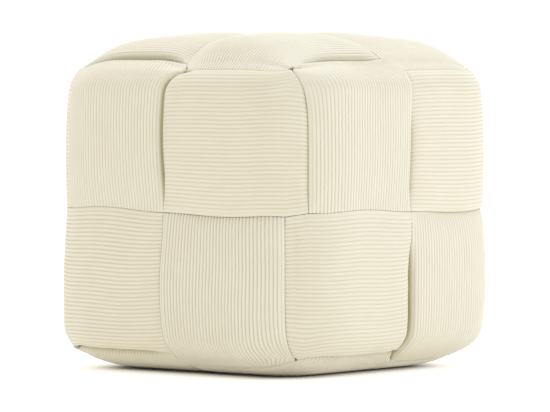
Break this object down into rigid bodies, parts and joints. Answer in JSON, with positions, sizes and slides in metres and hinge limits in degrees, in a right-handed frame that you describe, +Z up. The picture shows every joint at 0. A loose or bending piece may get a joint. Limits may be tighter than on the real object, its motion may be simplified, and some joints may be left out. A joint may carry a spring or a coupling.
{
  "type": "woven corduroy cube pouf",
  "caption": "Soft floor pouf in cream jumbo corduroy: fat padded bands are woven over and under each other into a rounded cube with a low domed top.",
  "frame": {"origin": "on the floor, under the middle of the base", "axes": "+Z is up; -Y and +X are the directions that the two walls in the picture face, and they meet at its near upright edge"},
  "size_m": [0.469, 0.469, 0.4395],
  "materials": {
    "corduroy_upright": "cream cotton corduroy with wide soft ribs, matt",
    "corduroy_level": "the same cream cotton corduroy with its ribs laid level, matt"
  },
  "bodies": {
    "root": {"band_upright_left": "corduroy_upright", "band_upright_centre": "corduroy_upright", "band_upright_right": "corduroy_upright", "band_upright_far": "corduroy_upright", "band_level_upper": "corduroy_level", "band_level_lower": "corduroy_level"}
  },
  "joints": []
}
